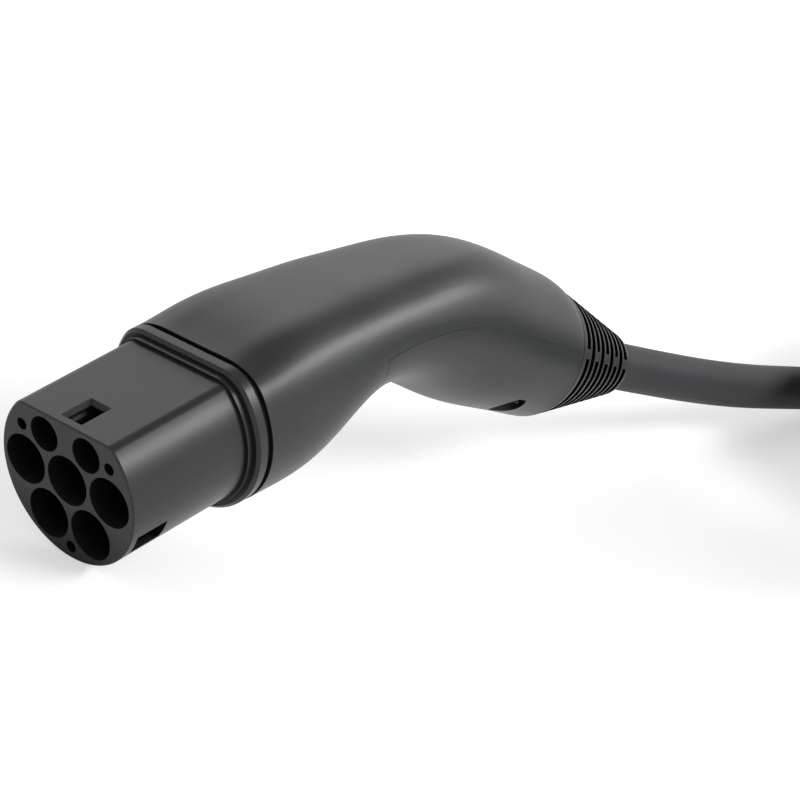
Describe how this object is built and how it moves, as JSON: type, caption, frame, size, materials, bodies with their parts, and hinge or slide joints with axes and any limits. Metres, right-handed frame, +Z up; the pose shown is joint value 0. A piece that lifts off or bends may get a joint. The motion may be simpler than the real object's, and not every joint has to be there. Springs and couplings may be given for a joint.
{
  "type": "ev charging cable",
  "caption": "Charging connector with swan-neck handle, flat-topped round nose, slotted strain relief and a coiled cable ending in a matching plug",
  "frame": {"origin": "on the floor, under the middle of the connector as it lies", "axes": "+X from the nose towards the cable, +Y to the side, +Z up"},
  "size_m": [0.6351, 0.2572, 0.1153],
  "materials": {
    "cable_sheath": "matt jacket",
    "hook_tape": "woven tape",
    "face_plastic": "fine moulded grain",
    "insulator": "smooth",
    "shell_plastic": "satin moulded grain",
    "cover_plastic": "satin moulded grain",
    "clamp_plastic": "smooth",
    "seal_rubber": "smooth",
    "sleeve_rubber": "satin",
    "screw_steel": "bright zinc",
    "contact_metal": "silver plated",
    "resistor": "lacquer",
    "core_green": "smooth",
    "core_blue": "smooth",
    "core_brown": "smooth",
    "core_black": "smooth",
    "core_grey": "smooth",
    "core_white": "smooth"
  },
  "bodies": {
    "root": {"cable": "cable_sheath", "cable_coil": "cable_sheath", "clamp_screws": "screw_steel", "clamp_seat": "clamp_plastic", "clamp_strap": "clamp_plastic", "coding_resistor": "resistor", "coil_tie": "hook_tape", "collar_gasket": "seal_rubber", "contact_carrier": "insulator", "contact_housing": "face_plastic", "contact_retainer": "insulator", "cover_screws": "screw_steel", "earth_core": "core_green", "earth_socket": "contact_metal", "grip_cover": "cover_plastic", "insert_screws": "screw_steel", "line_1_core": "core_brown", "line_1_socket": "contact_metal", "line_2_core": "core_black", "line_2_socket": "contact_metal", "line_3_core": "core_grey", "line_3_socket": "contact_metal", "neutral_core": "core_blue", "neutral_socket": "contact_metal", "pilot_core": "core_white", "pilot_socket": "contact_metal", "plug_clamp_screws": "screw_steel", "plug_clamp_seat": "clamp_plastic", "plug_clamp_strap": "clamp_plastic", "plug_coding_resistor": "resistor", "plug_collar_gasket": "seal_rubber", "plug_contact_retainer": "insulator", "plug_cover_screws": "screw_steel", "plug_earth_core": "core_green", "plug_earth_pin": "contact_metal", "plug_grip_cover": "cover_plastic", "plug_housing": "face_plastic", "plug_insert_screws": "screw_steel", "plug_lead": "cable_sheath", "plug_line_1_core": "core_brown", "plug_line_1_pin": "contact_metal", "plug_line_2_core": "core_black", "plug_line_2_pin": "contact_metal", "plug_line_3_core": "core_grey", "plug_line_3_pin": "contact_metal", "plug_neutral_core": "core_blue", "plug_neutral_pin": "contact_metal", "plug_pilot_core": "core_white", "plug_pilot_pin": "contact_metal", "plug_proximity_pin": "contact_metal", "plug_retainer_screws": "screw_steel", "plug_sheath_end": "cable_sheath", "plug_strain_relief": "sleeve_rubber", "plug_upper_shell": "shell_plastic", "proximity_socket": "contact_metal", "retainer_screws": "screw_steel", "sheath_end": "cable_sheath", "strain_relief": "sleeve_rubber", "upper_shell": "shell_plastic"}
  },
  "joints": []
}
